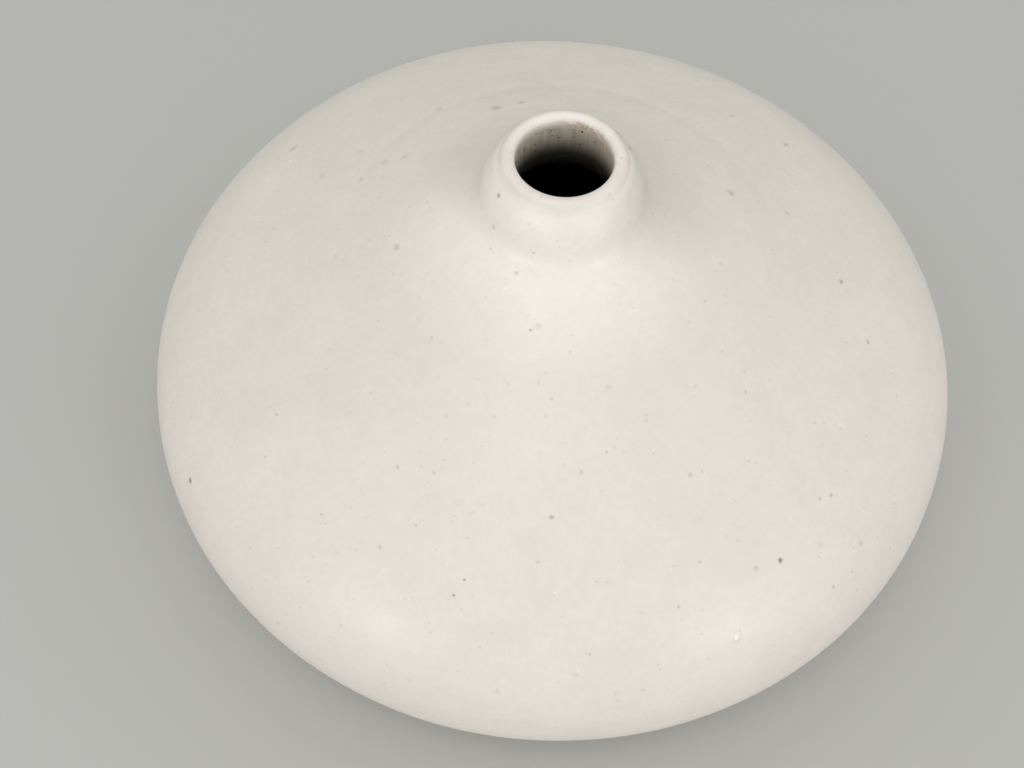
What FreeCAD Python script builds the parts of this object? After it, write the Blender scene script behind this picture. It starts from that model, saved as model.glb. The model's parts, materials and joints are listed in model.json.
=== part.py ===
import FreeCAD, Part
import math
import os

os.makedirs("parts", exist_ok=True)

# A round, low pillow vase of thrown stoneware, in millimetres and degrees.
# Z is the axis it was turned on, and z = 0 is the surface that it stands on.
# Every piece is a section in the XZ plane, turned once about Z.
# An angle is measured in that section, from straight outward towards straight up.

# Body
body_radius = 95.0            # at the belly, the widest place
wall = 5.0                    # finished, over both coats of glaze
underside_slope = 15.0        # of the straight underside, up and out from the foot
hip_radius = 30.0             # section radius from the underside up to the rim
hip_turn = 30.0               # how far the section turns there
lower_rim_radius = 16.0       # section radius just under the belly
upper_rim_radius = 27.0       # section radius just over the belly
upper_rim_turn = 33.0
haunch_radius = 46.7          # section radius from the rim to the straight shoulder
shoulder_slope = 26.7         # of the straight shoulder, up and in to the neck

# Throwing line, a shallow ring halfway up the shoulder
line_radius = 48.5
line_width = 7.0
line_depth = 0.2
line_edge_rounding = 6.0
line_bed_rounding = 9.0

# Neck
neck_base_radius = 17.2       # where the neck's side meets the shoulder
neck_height = 14.5            # from there to the top of the lip
neck_slope = 86.0             # of the neck's lower side, up and in
collar_slope = 52.0           # of its upper side, up and in to the lip
collar_rounding = 12.0        # between the two
neck_fillet = 7.0             # between neck and shoulder
bore_radius = 10.0            # finished
bore_end_rounding = 10.0      # where the bore opens into the body

# Lip
lip_radius = 1.5              # a half-round bead
lip_slope = 66.0              # of the bead's outer side, up and in from the crease under it
lip_side = 0.3                # straight run of that side
crease_rounding = 4.0

# Foot ring and floor
foot_radius = 45.0            # outside, at the top of the ring
foot_height = 4.1             # up to the underside, there
foot_width = 7.0
foot_taper = 1.0              # how far the outside draws in on its way down
foot_edge_rounding = 0.9
foot_fillet = 1.2             # between the ring's outside and the underside
recess_depth = 4.6            # under the floor, inside the ring
recess_fillet = 1.6
floor_thickness = 5.6         # finished
floor_rounding = 40.0         # where the floor turns up into the wall

# Glaze
glaze_thickness = 0.35
glaze_overlap = 1.5           # how far the outer coat runs down the bore from the lip bead
foot_bare_margin = 3.0        # bare clay left on the underside, out from the ring
recess_bare_margin = 3.0      # bare clay left in the recess, in from the ring

# Seams: each thrown section is stuck to the next with a layer of slip
slip_thickness = 0.6
foot_ring_height = 2.6        # of the bare ring, up to its slip
belly_seam_rise = 3.0         # of the bevelled seam, from the outside up to the inside
neck_seam_rise = 1.2

# Working allowances
overrun = 5.0                 # how far a cutting outline passes the clay
point_tolerance = 0.0001      # two points nearer than this are one

up = FreeCAD.Vector(0, 0, 1)
centre = FreeCAD.Vector(0, 0, 0)
upright = 90.0
inward = 180.0
full_turn = 360.0


def at(radius, height):
    return FreeCAD.Vector(radius, 0, height)


def toward(angle):
    return at(math.cos(math.radians(angle)), math.sin(math.radians(angle)))


def across(first, second):
    # Positive where the second direction turns left from the first.
    return first.x * second.z - first.z * second.x


def meet(place, angle, other_place, other_angle):
    # Where two straight lines of the section cross.
    reach = across(other_place - place, toward(other_angle)) / across(toward(angle), toward(other_angle))
    return place + toward(angle) * reach


def tangent_length(rounding, turn):
    return rounding * math.tan(math.radians(turn) / 2)


# An outline is a list of corners, each with its rounding, and with the clay on its left.

def direction(start, end):
    step = end - start
    return step * (1 / step.Length)


def left_of(step):
    return at(-step.z, step.x)


def inset(outline, depth):
    # The same outline at a depth under the surface: its roundings keep their centres.
    places = [place for place, rounding in outline]
    steps = [direction(start, end) for start, end in zip(places, places[1:])]
    before = steps[:1] + steps
    after = steps + steps[-1:]
    moved = []
    for (place, rounding), arriving, leaving in zip(outline, before, after):
        sides = left_of(arriving) + left_of(leaving)
        shift = sides * (depth / (1 + left_of(arriving).dot(left_of(leaving))))
        if rounding > 0:
            rounding -= math.copysign(depth, across(arriving, leaving))
        moved.append((place + shift, rounding))
    return moved


def backwards(outline):
    return outline[::-1]


def edges(outline):
    # Straight runs and arcs along an outline.
    made = []
    here = outline[0][0]
    for (place, rounding), (following, _) in zip(outline[1:], outline[2:]):
        arriving = direction(here, place)
        leaving = direction(place, following)
        turn = math.degrees(math.atan2(across(arriving, leaving), arriving.dot(leaving)))
        cut_back = tangent_length(rounding, abs(turn))
        start = place - arriving * cut_back
        end = place + leaving * cut_back
        if (start - here).Length > point_tolerance:
            made.append(Part.LineSegment(here, start).toShape())
        if rounding > 0:
            middle_side = direction(centre, leaving - arriving)
            to_centre = rounding / math.cos(math.radians(turn) / 2)
            middle = place + middle_side * (to_centre - rounding)
            made.append(Part.Arc(start, middle, end).toShape())
        here = end
    made.append(Part.LineSegment(here, outline[-1][0]).toShape())
    return made


def section(*outlines):
    # The face inside outlines that follow each other, closed with straight runs.
    made = []
    last = outlines[-1][-1][0]
    for outline in outlines:
        first = outline[0][0]
        if (first - last).Length > point_tolerance:
            made.append(Part.LineSegment(last, first).toShape())
        made += edges(outline)
        last = outline[-1][0]
    return Part.Face(Part.Wire(Part.__sortEdges__(made)))


def turned(face):
    return face.revolve(centre, up, full_turn)


# Body outline, from the underside at the foot up to the neck

hip_angle = underside_slope + hip_turn
lower_rim_turn = upright - hip_angle
upper_rim_angle = upright + upper_rim_turn
shoulder_angle = inward - shoulder_slope
haunch_turn = shoulder_angle - upper_rim_angle

hip_run = tangent_length(hip_radius, hip_turn) + tangent_length(lower_rim_radius, lower_rim_turn)
haunch_run = tangent_length(upper_rim_radius, upper_rim_turn) + tangent_length(haunch_radius, haunch_turn)

foot_corner = at(foot_radius, foot_height)
rim_inner_side = at(body_radius, 0) - toward(hip_angle) * hip_run
hip_corner = meet(foot_corner, underside_slope, rim_inner_side, upright)
lower_rim_corner = hip_corner + toward(hip_angle) * hip_run
belly = lower_rim_corner + up * tangent_length(lower_rim_radius, lower_rim_turn)
upper_rim_corner = belly + up * tangent_length(upper_rim_radius, upper_rim_turn)
haunch_corner = upper_rim_corner + toward(upper_rim_angle) * haunch_run
neck_corner = meet(haunch_corner, shoulder_angle, at(neck_base_radius, 0), upright)

lower_body = [
    (foot_corner, 0),
    (hip_corner, hip_radius),
    (lower_rim_corner, lower_rim_radius),
    (upper_rim_corner, upper_rim_radius),
    (haunch_corner, haunch_radius),
]

# Throwing line, across the straight shoulder

line_place = meet(haunch_corner, shoulder_angle, at(line_radius, 0), upright)
line_reach = toward(shoulder_angle) * (line_width / 2)
line_bed = line_place + toward(shoulder_angle + upright) * line_depth
throwing_line = [
    (line_place - line_reach, line_edge_rounding),
    (line_bed, line_bed_rounding),
    (line_place + line_reach, line_edge_rounding),
]

# Neck and lip, up the outside, over the bead and down the bore

neck_angle = inward - neck_slope
collar_angle = inward - collar_slope
lip_angle = inward - lip_slope
lip_top = neck_corner.z + neck_height
lip_centre_height = lip_top - lip_radius

lip_inner_corner = at(bore_radius, lip_top)
lip_outer_run = tangent_length(lip_radius, inward - lip_angle)
lip_outer_corner = lip_inner_corner + at(lip_radius + lip_outer_run, 0)
crease_run = lip_outer_run + lip_side + tangent_length(crease_rounding, collar_angle - lip_angle)
crease_corner = lip_outer_corner - toward(lip_angle) * crease_run
collar_corner = meet(neck_corner, neck_angle, crease_corner, collar_angle)
glaze_edge_in_bore = at(bore_radius, lip_centre_height - glaze_overlap)

neck = [
    (neck_corner, neck_fillet),
    (collar_corner, collar_rounding),
    (crease_corner, crease_rounding),
    (lip_outer_corner, lip_radius),
    (lip_inner_corner, lip_radius),
    (glaze_edge_in_bore, 0),
]

# Finished outside, from the edge of the glaze beside the foot to its edge in the bore

glaze_edge_at_foot = foot_corner + toward(underside_slope) * foot_bare_margin
outside = [(glaze_edge_at_foot, 0)] + lower_body[1:] + throwing_line + neck

# Finished inside, from there down to the middle of the floor

floor_height = recess_depth + floor_thickness
inner_body = inset(lower_body + [(neck_corner, 0)], wall)
inner_neck_side = inner_body[-1][0]
bore_end = meet(inner_neck_side, shoulder_angle, at(bore_radius, 0), upright)
floor_edge = meet(inner_body[0][0], underside_slope, at(0, floor_height), inward)
inside = [(glaze_edge_in_bore, 0), (bore_end, bore_end_rounding)]
inside += backwards(inner_body[1:-1])
inside += [(floor_edge, floor_rounding), (at(0, floor_height), 0)]

# Bare clay of the foot, from the middle of the recess out to the edge of the glaze

outside_clay = inset(outside, glaze_thickness)
inside_clay = inset(inside, glaze_thickness)
recess_ceiling = recess_depth + glaze_thickness
foot_inner_radius = foot_radius - foot_width
underside_clay_edge = outside_clay[0][0]
foot_top = meet(underside_clay_edge, underside_slope, at(foot_radius, 0), upright)
foot = [
    (at(0, recess_ceiling), 0),
    (at(foot_inner_radius, recess_ceiling), recess_fillet),
    (at(foot_inner_radius, 0), foot_edge_rounding),
    (at(foot_radius - foot_taper, 0), foot_edge_rounding),
    (foot_top, foot_fillet),
    (underside_clay_edge, 0),
]
clay = section(foot, outside_clay, inside_clay)


# Seams, each a line from the axis out past the clay with its slope inside the wall

def seam(inner_radius, inner_height, outer_radius, outer_height):
    return [
        (at(0, inner_height), 0),
        (at(inner_radius, inner_height), 0),
        (at(outer_radius, outer_height), 0),
        (at(body_radius + overrun, outer_height), 0),
    ]


def raised(line, height):
    return [(place + up * height, rounding) for place, rounding in line]


def between(lower, upper):
    # The clay between two seam lines, as one section.
    parts = clay.common(section(lower, backwards(upper))).Faces
    if len(parts) != 1:
        raise ValueError("a seam doesn't cross the clay once")
    return parts[0]


underground = seam(bore_radius, -overrun, foot_radius, -overrun)
foot_seam = seam(bore_radius, foot_ring_height, foot_radius, foot_ring_height)
belly_seam = seam(
    body_radius - wall, belly.z + belly_seam_rise / 2,
    body_radius, belly.z - belly_seam_rise / 2,
)
neck_seam = seam(
    bore_radius, neck_corner.z + neck_seam_rise,
    neck_base_radius, neck_corner.z,
)
overhead = seam(bore_radius, lip_top + overrun, neck_base_radius, lip_top + overrun)

foot_slip_top = raised(foot_seam, slip_thickness)
belly_slip_top = raised(belly_seam, slip_thickness)
neck_slip_top = raised(neck_seam, slip_thickness)

recess_glaze_radius = foot_inner_radius - recess_bare_margin
recess_glaze = [
    (at(0, recess_depth), 0),
    (at(recess_glaze_radius, recess_depth), 0),
    (at(recess_glaze_radius, recess_ceiling), 0),
    (at(0, recess_ceiling), 0),
]

sections = {
    "foot_ring": between(underground, foot_seam),
    "foot_slip": between(foot_seam, foot_slip_top),
    "lower_bowl": between(foot_slip_top, belly_seam),
    "belly_slip": between(belly_seam, belly_slip_top),
    "shoulder_dome": between(belly_slip_top, neck_seam),
    "neck_slip": between(neck_seam, neck_slip_top),
    "neck_collar": between(neck_slip_top, overhead),
    "outer_glaze": section(outside, backwards(outside_clay)),
    "lining_glaze": section(inside, backwards(inside_clay)),
    "recess_glaze": section(recess_glaze),
}

for name, face in sections.items():
    turned(face).exportStep("parts/" + name + ".step")
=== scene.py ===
import json
import math
from functools import partial

import bmesh
import bpy
from mathutils import Matrix, Vector


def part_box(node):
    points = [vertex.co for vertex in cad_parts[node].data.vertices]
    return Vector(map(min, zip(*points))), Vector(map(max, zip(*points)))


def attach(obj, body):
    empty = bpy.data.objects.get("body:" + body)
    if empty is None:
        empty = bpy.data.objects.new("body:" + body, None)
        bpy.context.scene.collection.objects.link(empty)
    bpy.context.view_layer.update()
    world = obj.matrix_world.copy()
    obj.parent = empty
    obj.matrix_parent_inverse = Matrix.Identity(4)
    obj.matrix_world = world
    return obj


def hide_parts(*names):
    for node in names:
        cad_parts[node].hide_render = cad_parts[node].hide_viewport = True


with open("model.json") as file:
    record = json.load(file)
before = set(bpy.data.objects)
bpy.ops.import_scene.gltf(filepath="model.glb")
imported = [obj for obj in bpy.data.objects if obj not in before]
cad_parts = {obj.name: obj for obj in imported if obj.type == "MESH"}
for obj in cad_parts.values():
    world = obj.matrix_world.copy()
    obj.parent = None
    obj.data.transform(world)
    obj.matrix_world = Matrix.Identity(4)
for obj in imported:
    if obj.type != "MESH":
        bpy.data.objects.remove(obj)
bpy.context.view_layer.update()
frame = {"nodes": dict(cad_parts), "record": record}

# A low, round vase of thrown stoneware with a short neck, in a satin white glaze.
# It is round about Z, stands on z = 0, and is seen from -Y and above.
# Sizes are in millimetres and degrees, unless a note beside them says otherwise.

mm = 0.001
fullTurn = 2 * math.pi


# The turned section. A place is (radius, height), an angle starts outward and turns
# towards up, and an outline is a list of corners with the clay on its left.

def toward(angle):
    return Vector((math.cos(math.radians(angle)), math.sin(math.radians(angle))))


def across(first, second):
    return first.x * second.y - first.y * second.x


def leftOf(step):
    return Vector((-step.y, step.x))


def meet(place, angle, otherPlace, otherAngle):
    # Where two straight lines of the section cross.
    reach = across(otherPlace - place, toward(otherAngle)) / across(toward(angle), toward(otherAngle))
    return place + toward(angle) * reach


def tangentLength(rounding, turn):
    return rounding * math.tan(math.radians(turn) / 2)


def inset(outline, depth):
    # The same outline at a depth under the surface, with concentric roundings.
    places = [place for place, rounding in outline]
    steps = [(end - start).normalized() for start, end in zip(places, places[1:])]
    moved = []
    for (place, rounding), arriving, leaving in zip(outline, steps[:1] + steps, steps + steps[-1:]):
        shift = (leftOf(arriving) + leftOf(leaving)) * (depth / (1 + arriving.dot(leaving)))
        if rounding > 0:
            rounding -= math.copysign(depth, across(arriving, leaving))
        moved.append((place + shift, rounding))
    return moved


def trace(outline, spacing, arcSteps):
    # Points along an outline: straight runs at a spacing, and each rounding in even steps.
    points = [outline[0][0].copy()]

    def goStraight(end):
        start = points[-1].copy()
        count = max(1, round((end - start).length / spacing))
        points.extend(start.lerp(end, (k + 1) / count) for k in range(count))

    for (before, _), (place, rounding), (after, _) in zip(outline, outline[1:], outline[2:]):
        arriving, leaving = (place - before).normalized(), (after - place).normalized()
        turn = math.atan2(across(arriving, leaving), arriving.dot(leaving))
        if rounding <= 0:
            goStraight(place)
            continue
        start = place - arriving * rounding * math.tan(abs(turn) / 2)
        if (start - points[-1]).length > spacing / 100:
            goStraight(start)
        middle = start + leftOf(arriving) * math.copysign(rounding, turn)
        count = max(arcSteps, round(rounding * abs(turn) / spacing))
        for k in range(count):
            spin = Matrix.Rotation(turn * (k + 1) / count, 2)
            points.append(middle + spin @ (start - middle))
    goStraight(outline[-1][0])
    return points


def betweenHeights(points, low, high):
    # The stretch of a path that lies between two heights, cut exactly at both.
    kept = []
    for start, end in zip(points, points[1:]):
        cuts = {0.0, 1.0}
        for level in (low, high):
            if (start.y - level) * (end.y - level) < 0:
                cuts.add((level - start.y) / (end.y - start.y))
        for a, b in zip(sorted(cuts), sorted(cuts)[1:]):
            first, last = start.lerp(end, a), start.lerp(end, b)
            if low <= (first.y + last.y) / 2 <= high:
                if not kept or (kept[-1] - first).length > mm * mm:
                    kept.append(first)
                kept.append(last)
    return kept


def pressed(points, marks):
    # Soft swells and hollows that the fingers leave along a path.
    reach = [0.0]
    for start, end in zip(points, points[1:]):
        reach.append(reach[-1] + (end - start).length)
    lifts = [0.0] * len(points)
    for radius, height, width, lift in marks:
        place = Vector((radius, height))
        middle = min(range(len(points)), key=lambda k: (points[k] - place).length)
        for k in range(len(points)):
            lifts[k] += lift * math.exp(-((reach[k] - reach[middle]) / width) ** 2)
    moved = []
    for before, point, after, lift in zip(points[:1] + points, points, points[1:] + points[-1:], lifts):
        moved.append(point - leftOf((after - before).normalized()) * lift)
    return moved


def cadSize(node):
    low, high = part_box(node)
    return {"radius": high.x / mm, "low": low.z / mm, "high": high.z / mm}


outerCoat = cadSize("outer_glaze")
liningCoat = cadSize("lining_glaze")
recessCoat = cadSize("recess_glaze")
ringBox = cadSize("foot_ring")
bore = next(m for m in frame["record"]["mounts"] if m["name"] == "neck_bore")

body = {
    "radius": outerCoat["radius"],      # at the belly
    "wall": 5.0,
    "undersideSlope": 15.0,
    "hipRadius": 30.0,
    "hipTurn": 30.0,
    "lowerRimRadius": 16.0,
    "upperRimRadius": 27.0,
    "upperRimTurn": 33.0,
    "haunchRadius": 46.7,
    "shoulderSlope": 26.7,
    "floorHeight": liningCoat["low"] + recessCoat["high"] - recessCoat["low"],
    "floorRounding": 40.0,
    "seamRise": 3.0,
}
throwingLine = {
    "radius": 48.5,
    "width": 7.0,
    "depth": 0.2,
    "edgeRounding": 6.0,
    "bedRounding": 9.0,
}
neck = {
    "baseRadius": 17.2,
    "top": outerCoat["high"],
    "slope": 86.0,
    "collarSlope": 52.0,
    "collarRounding": 12.0,
    "fillet": 7.0,
    "boreRadius": bore["dims"]["r_mm"],
    "boreEndRounding": 10.0,
    "lipRadius": 1.5,
    "lipSlope": 66.0,
    "lipSide": 0.3,
    "creaseRounding": 4.0,
    "coatEdge": liningCoat["high"],     # where the outer coat ends in the bore
}
foot = {
    "radius": 45.0,
    "height": 4.1,
    "width": 7.0,
    "taper": 1.0,
    "edgeRounding": 0.9,
    "fillet": 1.2,
    "ringTop": ringBox["high"],
    "slip": 0.6,
    "recess": recessCoat["low"],
    "recessRadius": recessCoat["radius"],
    "recessFillet": 1.6,
    "coatEdgeRounding": 0.2,
    "bareMargin": 3.0,                  # bare clay on the underside, out from the ring
}
coatDepth = recessCoat["high"] - recessCoat["low"]


def bodyCorners():
    hipAngle = body["undersideSlope"] + body["hipTurn"]
    rimAngle = 90 + body["upperRimTurn"]
    shoulderAngle = 180 - body["shoulderSlope"]
    lowerRun = tangentLength(body["lowerRimRadius"], 90 - hipAngle)
    upperRun = tangentLength(body["upperRimRadius"], body["upperRimTurn"])
    hipRun = tangentLength(body["hipRadius"], body["hipTurn"]) + lowerRun
    haunchRun = upperRun + tangentLength(body["haunchRadius"], shoulderAngle - rimAngle)
    footCorner = Vector((foot["radius"], foot["height"]))
    rimSide = Vector((body["radius"], 0)) - toward(hipAngle) * hipRun
    hip = meet(footCorner, body["undersideSlope"], rimSide, 90)
    lowerRim = hip + toward(hipAngle) * hipRun
    belly = lowerRim + Vector((0, lowerRun))
    upperRim = belly + Vector((0, upperRun))
    haunch = upperRim + toward(rimAngle) * haunchRun
    shoulderTop = meet(haunch, shoulderAngle, Vector((neck["baseRadius"], 0)), 90)
    corners = [
        (footCorner, 0),
        (hip, body["hipRadius"]),
        (lowerRim, body["lowerRimRadius"]),
        (upperRim, body["upperRimRadius"]),
        (haunch, body["haunchRadius"]),
        (shoulderTop, 0),
    ]
    return corners, belly.y


def throwingLineCorners(haunch, shoulderAngle):
    place = meet(haunch, shoulderAngle, Vector((throwingLine["radius"], 0)), 90)
    reach = toward(shoulderAngle) * (throwingLine["width"] / 2)
    return [
        (place - reach, throwingLine["edgeRounding"]),
        (place + toward(shoulderAngle + 90) * throwingLine["depth"], throwingLine["bedRounding"]),
        (place + reach, throwingLine["edgeRounding"]),
    ]


def neckCorners(base):
    collarAngle, lipAngle = 180 - neck["collarSlope"], 180 - neck["lipSlope"]
    lipInner = Vector((neck["boreRadius"], neck["top"]))
    lipRun = tangentLength(neck["lipRadius"], 180 - lipAngle)
    lipOuter = lipInner + Vector((neck["lipRadius"] + lipRun, 0))
    creaseRun = lipRun + neck["lipSide"] + tangentLength(neck["creaseRounding"], collarAngle - lipAngle)
    crease = lipOuter - toward(lipAngle) * creaseRun
    collar = meet(base, 180 - neck["slope"], crease, collarAngle)
    return [
        (base, neck["fillet"]),
        (collar, neck["collarRounding"]),
        (crease, neck["creaseRounding"]),
        (lipOuter, neck["lipRadius"]),
        (lipInner, neck["lipRadius"]),
        (Vector((neck["boreRadius"], neck["coatEdge"])), 0),
    ]


def vaseOutlines():
    corners, bellyHeight = bodyCorners()
    shoulderAngle = 180 - body["shoulderSlope"]
    coatFoot = corners[0][0] + toward(body["undersideSlope"]) * foot["bareMargin"]
    outside = [(coatFoot, 0)] + corners[1:-1]
    outside += throwingLineCorners(corners[-2][0], shoulderAngle) + neckCorners(corners[-1][0])

    inner = inset(corners, body["wall"])
    boreEnd = meet(inner[-1][0], shoulderAngle, Vector((neck["boreRadius"], 0)), 90)
    floorEdge = meet(inner[0][0], body["undersideSlope"], Vector((0, body["floorHeight"])), 180)
    inside = [(outside[-1][0], 0), (boreEnd, neck["boreEndRounding"])] + inner[1:-1][::-1]
    inside += [(floorEdge, body["floorRounding"]), (Vector((0, body["floorHeight"])), 0)]
    return outside, inside, bellyHeight


def footOutline(clayEdge):
    ceiling = foot["recess"] + coatDepth
    innerRadius = foot["radius"] - foot["width"]
    top = meet(clayEdge, body["undersideSlope"], Vector((foot["radius"], 0)), 90)
    return [
        (Vector((0, ceiling)), 0),
        (Vector((innerRadius, ceiling)), foot["recessFillet"]),
        (Vector((innerRadius, 0)), foot["edgeRounding"]),
        (Vector((foot["radius"] - foot["taper"], 0)), foot["edgeRounding"]),
        (top, foot["fillet"]),
        (clayEdge, 0),
    ]


outside, inside, bellyHeight = vaseOutlines()
print("section ready, belly at", round(bellyHeight, 2), "mm")


# One small function adds a node with its settings and links, and gives its outputs

def addNode(tree, kind, inputs=(), **settings):
    node = tree.nodes.new(kind)
    for name, value in settings.items():
        setattr(node, name, value)
    pairs = inputs.items() if isinstance(inputs, dict) else enumerate(inputs)
    for socket, value in pairs:
        if isinstance(value, bpy.types.NodeSocket):
            tree.links.new(value, node.inputs[socket])
        else:
            node.inputs[socket].default_value = value
    return node.outputs


# The wheel: turns a section about Z, and leaves the marks of throwing on it

def wheelTree():
    tree = bpy.data.node_groups.new("pottersWheel", "GeometryNodeTree")
    sockets = [
        ("Section", "NodeSocketGeometry", None),
        ("Steps Around", "NodeSocketInt", 96),
        ("Ring Spacing", "NodeSocketFloat", 6.0 * mm),
        ("Ring Depth", "NodeSocketFloat", 0.0),
        ("Unevenness", "NodeSocketFloat", 0.0),
        ("Unevenness Size", "NodeSocketFloat", 40.0 * mm),
        ("Out Of Round", "NodeSocketFloat", 0.0),
        ("Seed", "NodeSocketFloat", 1.0),
        ("Material", "NodeSocketMaterial", None),
    ]
    for name, kind, start in sockets:
        socket = tree.interface.new_socket(name, in_out="INPUT", socket_type=kind)
        if start is not None:
            socket.default_value = start
    tree.interface.new_socket("Thrown", in_out="OUTPUT", socket_type="NodeSocketGeometry")
    add = partial(addNode, tree)
    given = add("NodeGroupInput")

    # A grid, with a column for each step around and a row for each point of the section
    rows = add("GeometryNodeAttributeDomainSize", {"Geometry": given["Section"]})["Point Count"]
    columns = add("ShaderNodeMath", [given["Steps Around"], 1.0], operation="ADD")[0]
    grid = add("GeometryNodeMeshGrid", {"Vertices X": columns, "Vertices Y": rows})["Mesh"]
    index = add("GeometryNodeInputIndex")[0]
    row = add("ShaderNodeMath", [index, rows], operation="FLOORED_MODULO")[0]
    whole = add("ShaderNodeMath", [index, rows], operation="DIVIDE")[0]
    column = add("ShaderNodeMath", [whole], operation="FLOOR")[0]
    share = add("ShaderNodeMath", [column, given["Steps Around"]], operation="DIVIDE")[0]
    angle = add("ShaderNodeMath", [share, fullTurn], operation="MULTIPLY")[0]
    cosine = add("ShaderNodeMath", [angle], operation="COSINE")[0]
    sine = add("ShaderNodeMath", [angle], operation="SINE")[0]

    # Each point of the grid takes its radius and height from the section
    place = add("GeometryNodeInputPosition")[0]
    fromSection = {"Geometry": given["Section"], "Value": place, "Index": row}
    sampled = add("GeometryNodeSampleIndex", fromSection, data_type="FLOAT_VECTOR")["Value"]
    onSection = add("ShaderNodeSeparateXYZ", [sampled])
    east = add("ShaderNodeMath", [onSection["X"], cosine], operation="MULTIPLY")[0]
    north = add("ShaderNodeMath", [onSection["X"], sine], operation="MULTIPLY")[0]
    turned = add("ShaderNodeCombineXYZ", [east, north, onSection["Z"]])[0]
    shape = grid
    for name in ("along", "touched"):
        value = add("GeometryNodeInputNamedAttribute", {"Name": name}, data_type="FLOAT")["Attribute"]
        fromSection = {"Geometry": given["Section"], "Value": value, "Index": row}
        sampled = add("GeometryNodeSampleIndex", fromSection, data_type="FLOAT")["Value"]
        keep = {"Geometry": shape, "Name": name, "Value": sampled}
        shape = add("GeometryNodeStoreNamedAttribute", keep, data_type="FLOAT")["Geometry"]
    shape = add("GeometryNodeSetPosition", {"Geometry": shape, "Position": turned})["Geometry"]
    shape = add("GeometryNodeMergeByDistance", {"Geometry": shape, "Distance": mm * mm})["Geometry"]

    # Throwing rings climb as one shallow spiral, and fade in and out
    along = add("GeometryNodeInputNamedAttribute", {"Name": "along"}, data_type="FLOAT")["Attribute"]
    here = add("ShaderNodeSeparateXYZ", [place])
    azimuth = add("ShaderNodeMath", [here["Y"], here["X"]], operation="ARCTAN2")[0]
    climb = add("ShaderNodeMath", [along, given["Ring Spacing"]], operation="DIVIDE")[0]
    phase = add("ShaderNodeMath", [climb, fullTurn, azimuth], operation="MULTIPLY_ADD")[0]
    ridge = add("ShaderNodeMath", [phase], operation="SINE")[0]
    fading = {"Vector": place, "W": given["Seed"], "Scale": 22.0, "Detail": 1.0}
    fade = add("ShaderNodeTexNoise", fading, noise_dimensions="4D")[0]
    ringLift = add("ShaderNodeMath", [ridge, fade], operation="MULTIPLY")[0]
    ringLift = add("ShaderNodeMath", [ringLift, given["Ring Depth"]], operation="MULTIPLY")[0]

    # The hand leaves soft dips and swells, and the pot dries a little out of round
    fineness = add("ShaderNodeMath", [1.0, given["Unevenness Size"]], operation="DIVIDE")[0]
    swelling = {"Vector": place, "W": given["Seed"], "Scale": fineness, "Detail": 2.0}
    swell = add("ShaderNodeTexNoise", swelling, noise_dimensions="4D")[0]
    centred = add("ShaderNodeMath", [swell, 0.5], operation="SUBTRACT")[0]
    lift = add("ShaderNodeMath", [centred, given["Unevenness"], ringLift], operation="MULTIPLY_ADD")[0]
    twice = add("ShaderNodeMath", [azimuth, 2.0], operation="MULTIPLY")[0]
    oval = add("ShaderNodeMath", [twice], operation="COSINE")[0]
    distance = add("ShaderNodeVectorMath", [place], operation="LENGTH")["Value"]
    lean = add("ShaderNodeMath", [distance, given["Out Of Round"]], operation="MULTIPLY")[0]
    lift = add("ShaderNodeMath", [oval, lean, lift], operation="MULTIPLY_ADD")[0]
    touched = add("GeometryNodeInputNamedAttribute", {"Name": "touched"}, data_type="FLOAT")["Attribute"]
    lift = add("ShaderNodeMath", [lift, touched], operation="MULTIPLY")[0]
    outward = add("GeometryNodeInputNormal")[0]
    push = add("ShaderNodeVectorMath", {0: outward, "Scale": lift}, operation="SCALE")[0]
    shape = add("GeometryNodeSetPosition", {"Geometry": shape, "Offset": push})["Geometry"]
    shape = add("GeometryNodeSetShadeSmooth", {"Geometry": shape})["Geometry"]
    shape = add("GeometryNodeRealizeInstances", {"Geometry": shape})["Geometry"]
    finish = {"Geometry": shape, "Material": given["Material"]}
    shape = add("GeometryNodeSetMaterial", finish)["Geometry"]
    add("NodeGroupOutput", {"Thrown": shape})
    return tree


pottersWheel = wheelTree()
sharpAngle = 40.0                       # an edge that turns more than this stays sharp


def throwPiece(name, loop, material, throwing, touched=None):
    # A loop that starts and ends on the axis is left open there, and closes as it turns.
    if loop[0].x > 0:
        loop = loop + loop[:1]
    mesh = bpy.data.meshes.new(name)
    places = [(point.x * mm, 0, point.y * mm) for point in loop]
    mesh.from_pydata(places, [(k, k + 1) for k in range(len(loop) - 1)], [])
    along = mesh.attributes.new("along", "FLOAT", "POINT")
    touch = mesh.attributes.new("touched", "FLOAT", "POINT")
    distance = 0.0
    for k, point in enumerate(loop):
        distance += (point - loop[max(k - 1, 0)]).length * mm
        along.data[k].value = distance
        touch.data[k].value = 1.0 if touched is None else touched[k] if k < len(touched) else 0.0
    piece = bpy.data.objects.new(name, mesh)
    bpy.context.scene.collection.objects.link(piece)

    wheel = piece.modifiers.new("wheel", "NODES")
    wheel.node_group = pottersWheel
    sockets = pottersWheel.interface.items_tree
    identifiers = {s.name: s.identifier for s in sockets if s.in_out == "INPUT"}
    wheel[identifiers["Material"]] = material
    for label, value in throwing.items():
        wheel[identifiers[label]] = value
    turned = piece.evaluated_get(bpy.context.evaluated_depsgraph_get())
    made = bpy.data.meshes.new_from_object(turned)
    piece.modifiers.remove(wheel)
    piece.data = made
    made.name = name
    for label in ("along", "touched"):
        made.attributes.remove(made.attributes[label])

    shaping = bmesh.new()
    shaping.from_mesh(made)
    bmesh.ops.recalc_face_normals(shaping, faces=shaping.faces)
    for edge in shaping.edges:
        edge.smooth = edge.calc_face_angle(0.0) < math.radians(sharpAngle)
    openEdges = sum(not edge.is_manifold for edge in shaping.edges)
    shaping.to_mesh(made)
    shaping.free()
    print(name, "thrown,", len(made.polygons), "faces,", openEdges, "open edges")
    return piece


# Colours and finishes

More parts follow.
